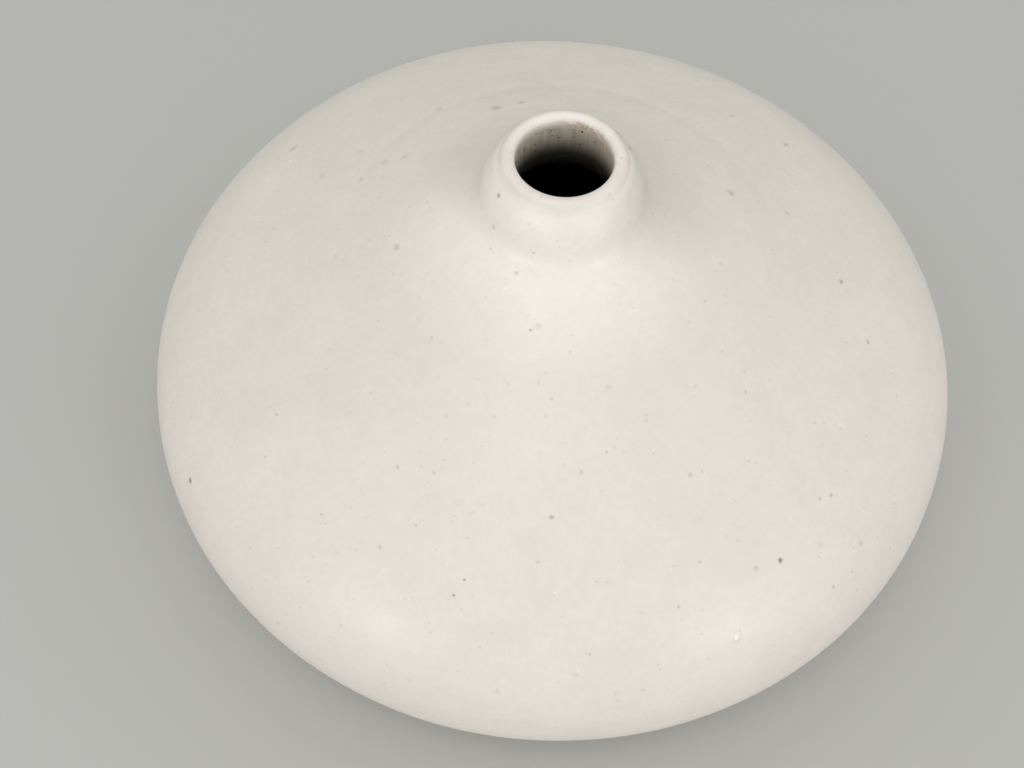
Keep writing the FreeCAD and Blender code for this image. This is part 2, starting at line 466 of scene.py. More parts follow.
def linear(hexColour):
    # An sRGB hex colour as the linear colour that the shaders take.
    values = [int(hexColour[k:k + 2], 16) / 255 for k in (1, 3, 5)]
    return tuple(v / 12.92 if v <= 0.04045 else ((v + 0.055) / 1.055) ** 2.4 for v in values) + (1.0,)


def newMaterial(name):
    # The material, the function that adds nodes to it, and the place on the object in mm.
    material = bpy.data.materials.new(name)
    material.use_nodes = True
    material.node_tree.nodes.clear()
    add = partial(addNode, material.node_tree)
    coordinates = {0: add("ShaderNodeTexCoord")["Object"], "Scale": 1 / mm}
    return material, add, add("ShaderNodeVectorMath", coordinates, operation="SCALE")[0]


glaze = {
    "cream": "#E5E0D4",                 # thicker, cooler glaze at the back and left
    "blush": "#EAE2DA",                 # where the clay warms it, in front and right
    "blushSide": (0.26, -0.966, 0.0),
    "blushStart": 10.0,                 # distance from the axis towards that side
    "blushBlend": 22.0,
    "blushWander": 60.0,
    "blushWanderSize": 38.0,
    "creamReach": 11.0,                 # below the belly it turns to cream again
    "blushBelow": 0.35,
    "paintedHighlight": "#F8F2E9",                 # painted highlight, whiter on the lip and below the neck
    "highlightSide": (-0.26, -0.97, 0.0),
    "highlightStrength": 0.80,
    "neckOutside": 20.0,                # radius where the neck's own tint begins
    "highlightOutside": 41.5,               # radius where the painted highlight has faded out
    # painted shade: the grey laid in the corner behind the neck
    "thin": "#C9C5B8",
    "shadeBehindNeckStrength": 0.50,
    "shadeBehindNeckOutside": 40.0,
    "lipHighlightFrom": 3.4,                 # under the top, where the painted highlight on the lip begins
    "lipHighlightFull": 1.4,
    "lipHighlightInFront": 0.15,
    "boreFadeFrom": 1.6,                # under the top, where the coat thins towards the lining
    "clouds": [(16.0, 0.014), (5.0, 0.012), (1.7, 0.018)],      # size and strength
    "roughness": 0.39,
    "roughnessSpread": 0.08,
    "roughnessSize": 5.0,
    "ripple": [(5.0, 0.035), (1.1, 0.010), (0.45, 0.003)],      # size and height
    "blisterRoughness": 0.06,
    "blisterHeight": 0.12,
    "thinEdge": "#B08F74",              # where it breaks thin over the lip
    "thinEdgeStrength": 0.85,
    "thinEdgeReach": 2.0,
    "thinEdgeFull": 0.3,
    "thinEdgePatch": 3.0,
    "thinEdgeSide": 80.0,               # azimuth where that shows most
    "thinEdgeFades": (-6.0, 8.0),       # from none to full, towards that side
    "thinEdgeTilt": 28.0,               # how far up round the lip it lies
}

# Fine iron in the glaze, and grains that stay white: by the size of the cell that holds one
specks = [
    {"cell": 2.0, "radius": 0.34, "soft": 0.18, "strength": 0.22, "colour": "#8A8176"},
    {"cell": 4.0, "radius": 0.40, "soft": 0.18, "strength": 0.32, "colour": "#7C7368"},
    {"cell": 10.0, "radius": 0.50, "soft": 0.18, "strength": 0.34, "colour": "#6B5A4B"},
    {"cell": 5.0, "radius": 0.32, "soft": 0.12, "strength": 0.80, "colour": "#FFFDF8"},
]

# The larger marks: azimuth, distance from the axis, radius of the mark, and strength
darkIron = [
    (308, 80, 0.46, 0.69), (212, 91, 0.57, 0.64), (258, 78, 0.26, 0.50), (259, 75, 0.25, 0.55),
    (246, 20, 0.34, 0.32), (261, 29, 0.31, 0.36),
]
brownIron = [
    (272, 62, 0.41, 0.46), (213, 15, 0.45, 0.54), (218, 17, 0.51, 0.27), (22, 14, 0.50, 0.50),
    (193, 35, 0.62, 0.29),
]
greyIron = [
    (300, 59, 0.45, 0.28), (278, 54, 0.40, 0.25), (22, 40, 0.71, 0.37), (1, 63, 0.54, 0.54),
    (321, 77, 0.37, 0.46), (319, 76, 0.43, 0.25), (321, 52, 0.30, 0.38), (271, 41, 0.38, 0.24),
    (270, 70, 0.37, 0.23), (296, 74, 0.32, 0.29), (304, 79, 0.53, 0.28), (315, 82, 0.58, 0.14),
    (321, 87, 0.58, 0.25), (314, 89, 0.35, 0.44), (291, 80, 0.29, 0.40), (245, 75, 0.39, 0.26),
    (241, 61, 0.40, 0.33), (248, 59, 0.35, 0.30), (284, 51, 0.27, 0.37), (295, 47, 0.35, 0.18),
    (328, 66, 0.41, 0.17), (350, 70, 0.46, 0.39), (39, 68, 0.66, 0.43), (106, 39, 0.76, 0.36),
    (115, 39, 1.15, 0.32), (128, 49, 0.74, 0.24), (152, 74, 0.80, 0.29), (161, 48, 0.59, 0.27),
    (154, 45, 0.91, 0.19), (151, 41, 0.74, 0.21), (160, 59, 0.83, 0.15), (264, 28, 0.55, 0.20),
    (276, 88, 0.40, 0.21), (220, 76, 0.32, 0.23), (17, 53, 0.66, 0.23), (151, 54, 0.49, 0.22),
    (349, 35, 0.44, 0.19), (266, 91, 0.53, 0.18), (281, 91, 0.36, 0.19), (235, 94, 0.55, 0.22),
]
# Patches in the blush where the cream shows
palePatches = [
    (269, 66, 2.8, 0.75), (254, 61, 2.2, 0.5), (229, 45, 5.0, 0.6), (254, 37, 3.0, 0.4),
    (236, 28, 3.5, 0.6), (286, 69, 2.5, 0.3), (315, 38, 4.0, 0.5), (226, 70, 5.0, 0.35),
    (300, 86, 4.0, 0.30), (262, 84, 3.5, 0.30), (334, 62, 4.5, 0.35), (290, 44, 3.0, 0.30),
    (207, 71, 12.0, 0.80), (220, 57, 9.0, 0.80), (230, 42, 8.0, 0.70), (344, 74, 7.0, 0.60),
]
ironHues = [(greyIron, "#857D73"), (brownIron, "#8A5F4C"), (darkIron, "#38291D")]
glassyBlisters = [(298, 88, 0.75, 1.0), (244, 89, 0.45, 1.0)]
hairline = {
    "places": [(252, 66), (257, 64), (260, 61)],
    "reach": 0.50,
    "strength": 0.17,
    "colour": "#8A8078",
    "gapSize": 2.4,
    "gapEdge": (0.45, 0.60),
}


def onShoulder(azimuth, distance):
    # The place on the outside, over the belly, at a distance from the axis.
    for start, end in zip(outsidePath, outsidePath[1:]):
        if start.y > bellyHeight and start.x >= distance > end.x:
            height = start.lerp(end, (start.x - distance) / (start.x - end.x)).y
            flat = toward(azimuth) * distance
            return Vector((flat.x, flat.y, height))


def wandering(add, inMm, size, reach):
    # The place on the object, moved about a little, so that edges drawn with it are ragged.
    noise = add("ShaderNodeTexNoise", {"Vector": inMm, "Scale": 1 / size, "Detail": 2.0})["Color"]
    centred = add("ShaderNodeVectorMath", [noise, (0.5, 0.5, 0.5)], operation="SUBTRACT")[0]
    shift = {0: centred, 1: (reach, reach, reach), 2: inMm}
    return add("ShaderNodeVectorMath", shift, operation="MULTIPLY_ADD")[0]


def spotMask(add, place, marks, softness):
    # Soft marks, each at its own place on the shoulder or the neck.
    mask = None
    for azimuth, distance, radius, strength in marks:
        gap = [place, onShoulder(azimuth, distance)]
        away = add("ShaderNodeVectorMath", gap, operation="DISTANCE")["Value"]
        edge = [away, radius * (1 + softness), radius * (1 - softness), 0.0, strength]
        spot = add("ShaderNodeMapRange", edge, interpolation_type="SMOOTHSTEP")[0]
        mask = spot if mask is None else add("ShaderNodeMath", [mask, spot], operation="MAXIMUM")[0]
    return mask


def makeGlaze():
    # Satin feldspar glaze, dipped over iron-bearing stoneware and fired in reduction:
    # a warm white that is never quite even, broad soft highlights, and specks of iron.
    material, add, inMm = newMaterial("satinWhiteGlaze")

    # Blush in front and on the neck, and cream behind, with a wandering border
    split = add("ShaderNodeSeparateXYZ", [inMm])
    flat = add("ShaderNodeCombineXYZ", [split["X"], split["Y"], 0.0])[0]
    radius = add("ShaderNodeVectorMath", [flat], operation="LENGTH")["Value"]
    side = add("ShaderNodeVectorMath", [inMm, glaze["blushSide"]], operation="DOT_PRODUCT")["Value"]
    wander = {"Vector": inMm, "Scale": 1 / glaze["blushWanderSize"], "Detail": 3.0}
    wander = add("ShaderNodeTexNoise", wander)[0]
    centred = add("ShaderNodeMath", [wander, 0.5], operation="SUBTRACT")[0]
    toBlush = add("ShaderNodeMath", [centred, glaze["blushWander"], side], operation="MULTIPLY_ADD")[0]
    low, high = glaze["blushStart"] - glaze["blushBlend"], glaze["blushStart"] + glaze["blushBlend"]
    warm = add("ShaderNodeMapRange", [toBlush, low, high], interpolation_type="SMOOTHSTEP")[0]
    edge = [radius, glaze["neckOutside"], neck["baseRadius"]]
    onNeck = add("ShaderNodeMapRange", edge, interpolation_type="SMOOTHSTEP")[0]
    warm = add("ShaderNodeMath", [warm, onNeck], operation="MAXIMUM")[0]
    pale = spotMask(add, wandering(add, inMm, 6.0, 7.0), palePatches, 0.6)
    warm = add("ShaderNodeMath", [warm, pale], operation="SUBTRACT", use_clamp=True)[0]
    edge = [split["Z"], bellyHeight - glaze["creamReach"], bellyHeight, glaze["blushBelow"], 1.0]
    above = add("ShaderNodeMapRange", edge, interpolation_type="SMOOTHSTEP")[0]
    warm = add("ShaderNodeMath", [warm, above], operation="MULTIPLY")[0]
    tints = {0: warm, 6: linear(glaze["cream"]), 7: linear(glaze["blush"])}
    colour = add("ShaderNodeMix", tints, data_type="RGBA")[2]

    # Painted highlight: whiter on the lip, and in front of the neck
    edge = [radius, glaze["highlightOutside"], neck["baseRadius"]]
    nearNeck = add("ShaderNodeMapRange", edge, interpolation_type="SMOOTHSTEP")[0]
    facing = {0: flat, 1: glaze["highlightSide"]}
    facing = add("ShaderNodeVectorMath", facing, operation="DOT_PRODUCT")["Value"]
    edge = [facing, -0.6 * neck["baseRadius"], neck["baseRadius"]]
    inFront = add("ShaderNodeMapRange", edge, interpolation_type="SMOOTHSTEP")[0]
    highlightBelowNeck = add("ShaderNodeMath", [nearNeck, inFront], operation="MULTIPLY")[0]
    edge = [split["Z"], neck["top"] - glaze["lipHighlightFrom"], neck["top"] - glaze["lipHighlightFull"]]
    onLip = add("ShaderNodeMapRange", edge, interpolation_type="SMOOTHSTEP")[0]
    lipHighlight = add("ShaderNodeMapRange", [inFront, 0.0, 1.0, 1.0, glaze["lipHighlightInFront"]])[0]
    paintedHighlight = add("ShaderNodeMix", {0: onLip, 2: highlightBelowNeck, 3: lipHighlight}, data_type="FLOAT")[0]
    paintedHighlight = add("ShaderNodeMath", [paintedHighlight, glaze["highlightStrength"]], operation="MULTIPLY")[0]
    tints = {0: paintedHighlight, 6: colour, 7: linear(glaze["paintedHighlight"])}
    colour = add("ShaderNodeMix", tints, data_type="RGBA")[2]

    # Painted shade: greyer in the corner behind the neck
    edge = [radius, glaze["shadeBehindNeckOutside"], neck["baseRadius"]]
    inCorner = add("ShaderNodeMapRange", edge, interpolation_type="SMOOTHSTEP")[0]
    paintedShadeBehindNeck = add("ShaderNodeMath", [inCorner, inFront], operation="SUBTRACT")[0]
    paintedShadeBehindNeck = add("ShaderNodeMath", [paintedShadeBehindNeck, onLip], operation="SUBTRACT", use_clamp=True)[0]
    paintedShadeBehindNeck = add("ShaderNodeMath", [paintedShadeBehindNeck, glaze["shadeBehindNeckStrength"]], operation="MULTIPLY")[0]
    tints = {0: paintedShadeBehindNeck, 6: colour, 7: linear(glaze["thin"])}
    colour = add("ShaderNodeMix", tints, data_type="RGBA")[2]

    # Clouds of thicker and thinner coat, from thumb size down to the size of a grain
    for size, strength in glaze["clouds"]:
        cloud = add("ShaderNodeTexNoise", {"Vector": inMm, "Scale": 1 / size, "Detail": 2.0})[0]
        shade = add("ShaderNodeMapRange", [cloud, 0.3, 0.7, 1 - strength, 1 + strength])[0]
        tints = {0: 1.0, 6: colour, 7: shade}
        colour = add("ShaderNodeMix", tints, data_type="RGBA", blend_type="MULTIPLY")[2]

    # Random specks: each cell holds a small ball of iron, shown where the surface cuts it
    ragged = wandering(add, inMm, 0.8, 0.7)
    for layer in specks:
        cells = add("ShaderNodeTexVoronoi", {"Vector": ragged, "Scale": 1 / layer["cell"]})
        away = add("ShaderNodeMath", [cells["Distance"], layer["cell"]], operation="MULTIPLY")[0]
        chance = add("ShaderNodeSeparateColor", [cells["Color"]])
        size = add("ShaderNodeMath", [chance["Red"], layer["radius"]], operation="MULTIPLY")[0]
        depth = add("ShaderNodeMath", [size, away], operation="SUBTRACT")[0]
        edge = [depth, -layer["soft"], layer["soft"], 0.0, layer["strength"]]
        inside = add("ShaderNodeMapRange", edge, interpolation_type="SMOOTHSTEP")[0]
        dark = add("ShaderNodeMath", [inside, chance["Green"]], operation="MULTIPLY")[0]
        tints = {0: dark, 6: colour, 7: linear(layer["colour"])}
        colour = add("ShaderNodeMix", tints, data_type="RGBA")[2]

    # The larger marks that have a place of their own
    for marks, hue in ironHues:
        tints = {0: spotMask(add, ragged, marks, 0.75), 6: colour, 7: linear(hue)}
        colour = add("ShaderNodeMix", tints, data_type="RGBA")[2]

    # A fine, broken hairline in the coat, along a few short runs
    crack = None
    places = [onShoulder(azimuth, distance) for azimuth, distance in hairline["places"]]
    nearby = wandering(add, inMm, 1.5, 2.0)
    for start, end in zip(places, places[1:]):
        step = end - start
        offset = add("ShaderNodeVectorMath", [nearby, start], operation="SUBTRACT")[0]
        along = [offset, step / step.length_squared]
        reach = add("ShaderNodeVectorMath", along, operation="DOT_PRODUCT")["Value"]
        share = add("ShaderNodeClamp", [reach])[0]
        onRun = add("ShaderNodeVectorMath", {0: step, "Scale": share}, operation="SCALE")[0]
        away = add("ShaderNodeVectorMath", [offset, onRun], operation="DISTANCE")["Value"]
        crack = away if crack is None else add("ShaderNodeMath", [crack, away], operation="MINIMUM")[0]
    edge = [crack, hairline["reach"], hairline["reach"] / 5, 0.0, hairline["strength"]]
    line = add("ShaderNodeMapRange", edge, interpolation_type="SMOOTHSTEP")[0]
    gaps = add("ShaderNodeTexNoise", {"Vector": inMm, "Scale": 1 / hairline["gapSize"], "Detail": 1.0})[0]
    gaps = add("ShaderNodeMapRange", [gaps, *hairline["gapEdge"]], interpolation_type="SMOOTHSTEP")[0]
    line = add("ShaderNodeMath", [line, gaps], operation="MULTIPLY")[0]
    tints = {0: line, 6: colour, 7: linear(hairline["colour"])}
    colour = add("ShaderNodeMix", tints, data_type="RGBA")[2]

    # Round the back of the lip the coat breaks thin, and the clay shows through
    onSection = add("ShaderNodeCombineXYZ", [radius, split["Z"], 0.0])[0]
    patchy = {"Vector": inMm, "Scale": 1 / glaze["thinEdgePatch"], "Detail": 3.0}
    patchy = add("ShaderNodeTexNoise", patchy)[0]
    thinSide = toward(glaze["thinEdgeSide"])
    tilted = toward(glaze["thinEdgeTilt"])
    facing = [flat, (thinSide.x, thinSide.y, 0.0)]
    facing = add("ShaderNodeVectorMath", facing, operation="DOT_PRODUCT")["Value"]
    facing = add("ShaderNodeMapRange", [facing, *glaze["thinEdgeFades"]])[0]
    patchy = add("ShaderNodeMath", [patchy, facing], operation="MULTIPLY")[0]
    crest = Vector((neck["boreRadius"], neck["top"])) + neck["lipRadius"] * (Vector((1, -1)) + tilted)
    away = add("ShaderNodeVectorMath", [onSection, (*crest, 0.0)], operation="DISTANCE")["Value"]
    edge = [away, glaze["thinEdgeReach"], glaze["thinEdgeFull"], 0.0, glaze["thinEdgeStrength"]]
    thin = add("ShaderNodeMapRange", edge, interpolation_type="SMOOTHSTEP")[0]
    thin = add("ShaderNodeMath", [thin, patchy], operation="MULTIPLY")[0]
    tints = {0: thin, 6: colour, 7: linear(glaze["thinEdge"])}
    colour = add("ShaderNodeMix", tints, data_type="RGBA")[2]

    # Down the bore it thins out to the grey of the lining
    edge = [split["Z"], neck["top"] - glaze["boreFadeFrom"], neck["coatEdge"]]
    lower = add("ShaderNodeMapRange", edge, interpolation_type="SMOOTHSTEP")[0]
    edge = [radius, neck["boreRadius"] + 1.3, neck["boreRadius"] + 0.3]
    within = add("ShaderNodeMapRange", edge, interpolation_type="SMOOTHSTEP")[0]
    thinned = add("ShaderNodeMath", [lower, within], operation="MULTIPLY")[0]
    tints = {0: thinned, 6: colour, 7: linear(lining["pale"])}
    colour = add("ShaderNodeMix", tints, data_type="RGBA")[2]
    tints = {0: mouthStain(add, inMm), 6: colour, 7: linear(stain["colour"])}
    colour = add("ShaderNodeMix", tints, data_type="RGBA")[2]

    # Satin, a little glossier in places, with a few glassy blisters
    blisters = spotMask(add, inMm, glassyBlisters, 0.9)
    patches = {"Vector": inMm, "Scale": 1 / glaze["roughnessSize"], "Detail": 4.0}
    patches = add("ShaderNodeTexNoise", patches)[0]
    spread = [glaze["roughness"] - glaze["roughnessSpread"], glaze["roughness"] + glaze["roughnessSpread"]]
    rough = add("ShaderNodeMapRange", [patches, 0.3, 0.7, *spread])[0]
    rough = add("ShaderNodeMapRange", [blisters, 0.0, 1.0, rough, glaze["blisterRoughness"]])[0]

    # Ripples of the set glaze, down to the fine grain that gives the satin
    height = add("ShaderNodeMath", [blisters, glaze["blisterHeight"]], operation="MULTIPLY")[0]
    for size, lift in glaze["ripple"]:
        wave = add("ShaderNodeTexNoise", {"Vector": inMm, "Scale": 1 / size, "Detail": 1.0})[0]
        height = add("ShaderNodeMath", [wave, lift, height], operation="MULTIPLY_ADD")[0]
    relief = add("ShaderNodeBump", {"Strength": 1.0, "Distance": mm, "Height": height})[0]
    surface = {"Base Color": colour, "Roughness": rough, "IOR": 1.5, "Normal": relief}
    add("ShaderNodeOutputMaterial", [add("ShaderNodeBsdfPrincipled", surface)[0]])
    return material


# Rust from a wet stem or wire, at the back right of the mouth
stain = {
    "colour": "#BC9762",
    "azimuth": 66.0,
    "width": 7.5,
    "drop": 1.8,                        # of its middle, under the top of the lip
    "lowerEdge": (3.2, 1.9),            # where it begins and is full, under the top
    "upperEdge": (0.4, 1.4),
    "patchSize": 1.3,
    "patchEdge": (0.36, 0.60),
    "strength": 0.70,
}


def mouthStain(add, inMm):
    side = toward(stain["azimuth"]) * neck["boreRadius"]
    middle = (side.x, side.y, neck["top"] - stain["drop"])
    away = add("ShaderNodeVectorMath", [inMm, middle], operation="DISTANCE")["Value"]
    near = [away, stain["width"], stain["width"] / 5, 0.0, stain["strength"]]
    spread = add("ShaderNodeMapRange", near, interpolation_type="SMOOTHSTEP")[0]
    broken = add("ShaderNodeTexNoise", {"Vector": inMm, "Scale": 1 / stain["patchSize"], "Detail": 3.0})[0]
    patches = add("ShaderNodeMapRange", [broken, *stain["patchEdge"]], interpolation_type="SMOOTHSTEP")[0]
    split = add("ShaderNodeSeparateXYZ", [inMm])
    height = [split["Z"], *(neck["top"] - drop for drop in stain["lowerEdge"])]
    rising = add("ShaderNodeMapRange", height, interpolation_type="SMOOTHSTEP")[0]
    height = [split["Z"], *(neck["top"] - drop for drop in stain["upperEdge"])]
    falling = add("ShaderNodeMapRange", height, interpolation_type="SMOOTHSTEP")[0]
    band = add("ShaderNodeMath", [rising, falling], operation="MULTIPLY")[0]
    mask = add("ShaderNodeMath", [spread, patches], operation="MULTIPLY")[0]
    return add("ShaderNodeMath", [mask, band], operation="MULTIPLY")[0]


lining = {
    "pale": "#DCD2C2",
    "grey": "#B8AB99",
    "paintedBoreShade": "#3F3A34",                  # painted shade, darker further down the bore
    "boreShadeFrom": 4.0,                    # under the top of the lip
    "boreShadeTo": 11.0,
    "streakWidth": 1.1,
    "streakLength": 14.0,
    "pinholeCell": 1.2,
    "pinholeRadius": 0.36,
    "pinholeColour": "#4A4238",
    "pinholeDepth": 0.12,
    "rippleSize": 2.2,
    "rippleHeight": 0.05,
    "roughness": (0.42, 0.56),
}


def makeLining():
    # Thin lining glaze, poured in and out again: greyer than the dipped coat, with
    # faint runs down the bore, burst pinholes that it didn't heal over, and painted shade that darkens it
    # further down.
    material, add, inMm = newMaterial("pouredLiningGlaze")
    stretch = (1.0, 1.0, lining["streakWidth"] / lining["streakLength"])
    drawn = add("ShaderNodeVectorMath", [inMm, stretch], operation="MULTIPLY")[0]
    runs = add("ShaderNodeTexNoise", {"Vector": drawn, "Scale": 1 / lining["streakWidth"], "Detail": 2.0})[0]
    shade = add("ShaderNodeMapRange", [runs, 0.35, 0.75, 0.0, 0.8])[0]
    tints = {0: shade, 6: linear(lining["pale"]), 7: linear(lining["grey"])}
    colour = add("ShaderNodeMix", tints, data_type="RGBA")[2]
    # Painted shade: darker further down the bore
    height = add("ShaderNodeSeparateXYZ", [inMm])["Z"]
    edge = [height, neck["top"] - lining["boreShadeFrom"], neck["top"] - lining["boreShadeTo"]]
    paintedBoreShade = add("ShaderNodeMapRange", edge, interpolation_type="SMOOTHSTEP")[0]
    tints = {0: paintedBoreShade, 6: colour, 7: linear(lining["paintedBoreShade"])}
    colour = add("ShaderNodeMix", tints, data_type="RGBA")[2]
    cells = add("ShaderNodeTexVoronoi", {"Vector": inMm, "Scale": 1 / lining["pinholeCell"]})
    away = add("ShaderNodeMath", [cells["Distance"], lining["pinholeCell"]], operation="MULTIPLY")[0]
    chance = add("ShaderNodeSeparateColor", [cells["Color"]])
    size = add("ShaderNodeMath", [chance["Red"], lining["pinholeRadius"]], operation="MULTIPLY")[0]
    depth = add("ShaderNodeMath", [size, away], operation="SUBTRACT")[0]
    hole = add("ShaderNodeMapRange", [depth, -0.10, 0.10], interpolation_type="SMOOTHSTEP")[0]
    dark = add("ShaderNodeMath", [hole, chance["Green"]], operation="MULTIPLY")[0]
    tints = {0: dark, 6: colour, 7: linear(lining["pinholeColour"])}
    colour = add("ShaderNodeMix", tints, data_type="RGBA")[2]
    tints = {0: mouthStain(add, inMm), 6: colour, 7: linear(stain["colour"])}
    colour = add("ShaderNodeMix", tints, data_type="RGBA")[2]
    ripple = add("ShaderNodeTexNoise", {"Vector": inMm, "Scale": 1 / lining["rippleSize"], "Detail": 3.0})[0]
    height = add("ShaderNodeMath", [ripple, lining["rippleHeight"]], operation="MULTIPLY")[0]
    height = add("ShaderNodeMath", [hole, -lining["pinholeDepth"], height], operation="MULTIPLY_ADD")[0]
    relief = add("ShaderNodeBump", {"Strength": 1.0, "Distance": mm, "Height": height})[0]
    rough = add("ShaderNodeMapRange", [ripple, 0.3, 0.7, *lining["roughness"]])[0]
    surface = {"Base Color": colour, "Roughness": rough, "IOR": 1.5, "Normal": relief}
    add("ShaderNodeOutputMaterial", [add("ShaderNodeBsdfPrincipled", surface)[0]])
    return material


toastSize = 9.0                         # of the patches that the flame browned


def makeClay(name, pale, dark, grit, grain, lineDepth, roughness):
    # Fired clay without a coat: dry, matt and slightly toasted, with sand in it and the
    # fine rings that the turning tool and the sponge leave.
    material, add, inMm = newMaterial(name)
    toast = add("ShaderNodeTexNoise", {"Vector": inMm, "Scale": 1 / toastSize, "Detail": 4.0})[0]
    shade = add("ShaderNodeMapRange", [toast, 0.35, 0.65])[0]
    tints = {0: shade, 6: linear(pale), 7: linear(dark)}
    colour = add("ShaderNodeMix", tints, data_type="RGBA")[2]
    cells = add("ShaderNodeTexVoronoi", {"Vector": inMm, "Scale": 1 / (3 * grain)})
    away = add("ShaderNodeMath", [cells["Distance"], 3 * grain], operation="MULTIPLY")[0]
    chance = add("ShaderNodeSeparateColor", [cells["Color"]])
    size = add("ShaderNodeMath", [chance["Red"], 1.4 * grain], operation="MULTIPLY")[0]
    depth = add("ShaderNodeMath", [size, away], operation="SUBTRACT")[0]
    edge = [depth, -grain / 4, grain / 4]
    sand = add("ShaderNodeMapRange", edge, interpolation_type="SMOOTHSTEP")[0]
    share = add("ShaderNodeMath", [sand, chance["Green"]], operation="MULTIPLY")[0]
    tints = {0: share, 6: colour, 7: linear(grit)}
    colour = add("ShaderNodeMix", tints, data_type="RGBA")[2]
    rings = {"Vector": inMm, "Scale": 0.3, "Distortion": 0.6, "Detail": 2.0, "Detail Scale": 0.4}
    turning = add("ShaderNodeTexWave", rings, wave_type="RINGS", rings_direction="Z")["Color"]
    fine = add("ShaderNodeTexNoise", {"Vector": inMm, "Scale": 1 / grain, "Detail": 3.0})[0]
    height = add("ShaderNodeMath", [turning, lineDepth], operation="MULTIPLY")[0]
    height = add("ShaderNodeMath", [fine, 0.12 * grain, height], operation="MULTIPLY_ADD")[0]
    height = add("ShaderNodeMath", [sand, 0.16 * grain, height], operation="MULTIPLY_ADD")[0]
    relief = add("ShaderNodeBump", {"Strength": 1.0, "Distance": mm, "Height": height})[0]
    rough = add("ShaderNodeMapRange", [fine, 0.3, 0.7, roughness - 0.05, roughness + 0.05])[0]
    surface = {"Base Color": colour, "Roughness": rough, "IOR": 1.5, "Normal": relief}
    add("ShaderNodeOutputMaterial", [add("ShaderNodeBsdfPrincipled", surface)[0]])
    return material


# Pieces

thrown = {
    "Steps Around": 384,
    "Ring Spacing": 6.2 * mm,
    "Ring Depth": 0.03 * mm,
    "Unevenness": 0.35 * mm,
    "Unevenness Size": 42.0 * mm,
    "Out Of Round": 0.0004,             # share of the distance from the middle
    "Seed": 3.0,
}
# Swells and hollows round the outside: radius, height, half-width and lift
fingerMarks = [
    (64.5, 66.7, 7.0, 0.10),
    (75.0, 61.2, 5.0, -0.05),
    (83.0, 55.5, 4.0, -0.10),
    (92.5, 43.0, 5.0, 0.06),
    (49.0, 5.2, 1.8, 0.15),             # the coat gathers at its lower edge
]
handFade = 6.0                          # the hand marks fade out this near the coat's edges
turnedFoot = {"Steps Around": 256, "Ring Spacing": 1.3 * mm, "Ring Depth": 0.04 * mm, "Seed": 5.0}
plainTurned = {"Steps Around": 256}
poured = {"Steps Around": 160}

outsidePath = pressed(trace(outside, 1.5, 8), fingerMarks)
outsideClay = inset(outside, coatDepth)
outsideClayPath = trace(outsideClay, 4.0, 4)
insidePath = trace(inside, 3.0, 8)
insideClayPath = trace(inset(inside, coatDepth), 5.0, 6)
footPath = trace(footOutline(outsideClay[0][0]), 0.7, 7)
ceiling = foot["recess"] + coatDepth
slipTop = foot["ringTop"] + foot["slip"]
skinTouch = []
for point in outsidePath:
    nearest = min((point - outsidePath[0]).length, (point - outsidePath[-1]).length)
    skinTouch.append(min(1.0, nearest / handFade))

whiteGlaze = makeGlaze()
liningGlaze = makeLining()
bareClay = makeClay("bareBuffStoneware", "#BFA283", "#A88765", "#7A5B40", 0.5, 0.05, 0.86)
joiningSlip = makeClay("firedJoiningSlip", "#C8AD8E", "#B6987A", "#93745A", 0.3, 0.02, 0.8)
print("materials ready")

skinLoop = outsidePath + outsideClayPath[::-1]
liningLoop = insideClayPath[::-1] + insidePath
ringLoop = betweenHeights(footPath, 0, foot["ringTop"])
slipLoop = betweenHeights(footPath, foot["ringTop"], slipTop)
bowlLoop = betweenHeights(footPath, slipTop, footPath[-1].y)
bowlLoop += betweenHeights(outsideClayPath, ceiling, bellyHeight - body["seamRise"] / 2)
bowlLoop += betweenHeights(insideClayPath, 0, bellyHeight + body["seamRise"] / 2)
recessLoop = trace([
    (Vector((0, ceiling)), 0),
    (Vector((foot["recessRadius"], ceiling)), 0),
    (Vector((foot["recessRadius"], foot["recess"])), foot["coatEdgeRounding"]),
    (Vector((0, foot["recess"])), 0),
], 2.0, 5)

pieces = [
    ("dippedCoat", "outer_glaze", "white_glaze", skinLoop, whiteGlaze, thrown, skinTouch),
    ("pouredCoat", "lining_glaze", "lining_glaze", liningLoop, liningGlaze, poured, None),
    ("footRing", "foot_ring", "bare_stoneware", ringLoop, bareClay, turnedFoot, None),
    ("footSlip", "foot_slip", "slip", slipLoop, joiningSlip, plainTurned, None),
    ("lowerBowl", "lower_bowl", "bare_stoneware", bowlLoop, bareClay, plainTurned, None),
    ("recessCoat", "recess_glaze", "white_glaze", recessLoop, whiteGlaze, poured, None),
]
for name, node, slot, loop, material, throwing, touched in pieces:
    piece = throwPiece(name, loop, material, throwing, touched)
    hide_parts(node)
    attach(piece, "root")

hiddenClay = {
    "belly_slip": joiningSlip,
    "neck_slip": joiningSlip,
    "shoulder_dome": bareClay,
    "neck_collar": bareClay,
}
for node, material in hiddenClay.items():
    frame["nodes"][node].data.materials.clear()
    frame["nodes"][node].data.materials.append(material)
print("pieces ready")


# Floor, light and camera

studio = {
    "floor": "#C3C3BF",
    "floorSize": 6.0,                   # metres
    "backdrop": "#C9C9C5",
    "fill": 0.695,
}
# Softboxes: azimuth, elevation, watts and spread, where the low two have a grid that keeps
# them off the floor; each is so far off and so wide, in metres
softboxes = {
    "overheadLeft": (-118.0, 70.0, 1.15, 180.0),
    "overheadRight": (-62.0, 70.0, 0.77, 180.0),
    "lowLeft": (-127.0, 12.0, 0.203, 60.0),
    "lowRight": (-43.0, 12.0, 0.222, 60.0),
}
softboxDistance = 1.2
softboxWidth = 0.3


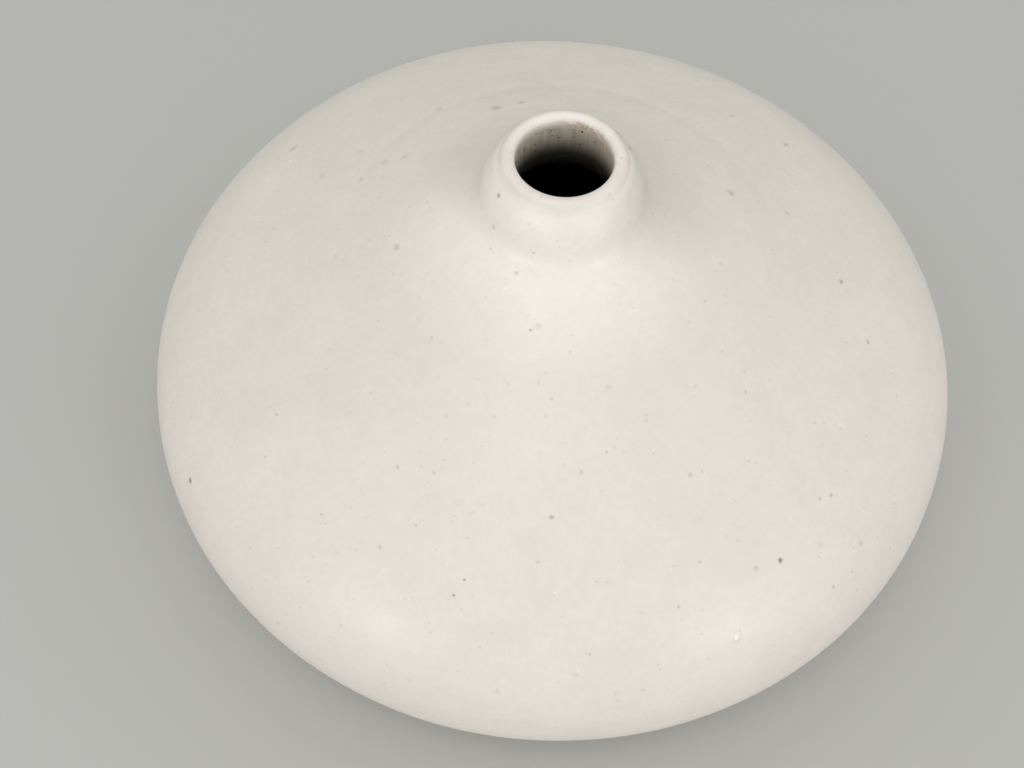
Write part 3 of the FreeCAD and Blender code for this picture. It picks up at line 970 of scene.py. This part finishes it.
def makeFloor():
    mesh = bpy.data.meshes.new("paleFloor")
    half = studio["floorSize"] / 2
    corners = [(-half, -half, 0), (half, -half, 0), (half, half, 0), (-half, half, 0)]
    mesh.from_pydata(corners, [], [(0, 1, 2, 3)])
    floor = bpy.data.objects.new("paleFloor", mesh)
    bpy.context.scene.collection.objects.link(floor)
    material, add, inMm = newMaterial("paleMattePaper")
    fibres = add("ShaderNodeTexNoise", {"Vector": inMm, "Scale": 1 / 0.8, "Detail": 3.0})[0]
    height = add("ShaderNodeMath", [fibres, 0.01], operation="MULTIPLY")[0]
    relief = add("ShaderNodeBump", {"Strength": 1.0, "Distance": mm, "Height": height})[0]
    surface = {"Base Color": linear(studio["floor"]), "Roughness": 0.8, "Normal": relief}
    add("ShaderNodeOutputMaterial", [add("ShaderNodeBsdfPrincipled", surface)[0]])
    mesh.materials.append(material)


def makeWorld():
    world = bpy.data.worlds.new("studio")
    bpy.context.scene.world = world
    world.use_nodes = True
    world.node_tree.nodes.clear()
    add = partial(addNode, world.node_tree)
    fill = add("ShaderNodeBackground", {"Color": linear("#FFFFFF"), "Strength": studio["fill"]})[0]
    backdrop = add("ShaderNodeBackground", {"Color": linear(studio["backdrop"]), "Strength": 1.0})[0]
    seen = add("ShaderNodeLightPath")["Is Camera Ray"]
    add("ShaderNodeOutputWorld", [add("ShaderNodeMixShader", [seen, fill, backdrop])[0]])


def placeSoftbox(name, azimuth, elevation, watts, spread):
    lift = toward(elevation)
    side = toward(azimuth) * lift.x
    direction = Vector((side.x, side.y, lift.y))
    light = bpy.data.lights.new(name, "AREA")
    light.shape = "DISK"
    light.size = softboxWidth
    light.energy = watts
    light.spread = math.radians(spread)
    box = bpy.data.objects.new(name, light)
    box.location = Vector((0, 0, bellyHeight * mm)) + direction * softboxDistance
    box.rotation_euler = direction.to_track_quat("Z", "Y").to_euler()
    bpy.context.scene.collection.objects.link(box)


view = {
    "elevation": 56.956,                # of the camera, seen from the middle of the belly
    "distance": 333.7,
    "focalPixels": 1360.0,
    "imageWidth": 1024.0,
    "sensorWidth": 36.0,
    "pan": 1.574,
    "tilt": -1.326,
    "roll": -3.787,
}


def makeCamera():
    lift = toward(view["elevation"])
    away = Vector((0, -lift.x, lift.y))
    right, forward = Vector((1, 0, 0)), -away
    up = right.cross(forward)
    pan = Matrix.Rotation(math.radians(view["pan"]), 3, up)
    forward, right = pan @ forward, pan @ right
    tilt = Matrix.Rotation(math.radians(view["tilt"]), 3, right)
    forward, up = tilt @ forward, tilt @ up
    roll = Matrix.Rotation(math.radians(view["roll"]), 3, forward)
    right, up = roll @ right, roll @ up
    lens = bpy.data.cameras.new("camera")
    lens.sensor_width = view["sensorWidth"]
    lens.lens = view["sensorWidth"] * view["focalPixels"] / view["imageWidth"]
    lens.clip_start = 10 * mm
    camera = bpy.data.objects.new("camera", lens)
    place = Vector((0, 0, bellyHeight)) + away * view["distance"]
    axes = Matrix((right, up, -forward)).transposed().to_4x4()
    camera.matrix_world = Matrix.Translation(place * mm) @ axes
    bpy.context.scene.collection.objects.link(camera)
    bpy.context.scene.camera = camera


makeFloor()
makeWorld()
for name, settings in softboxes.items():
    placeSoftbox(name, *settings)
makeCamera()
bpy.context.scene.view_settings.view_transform = "Standard"
print("stage ready")
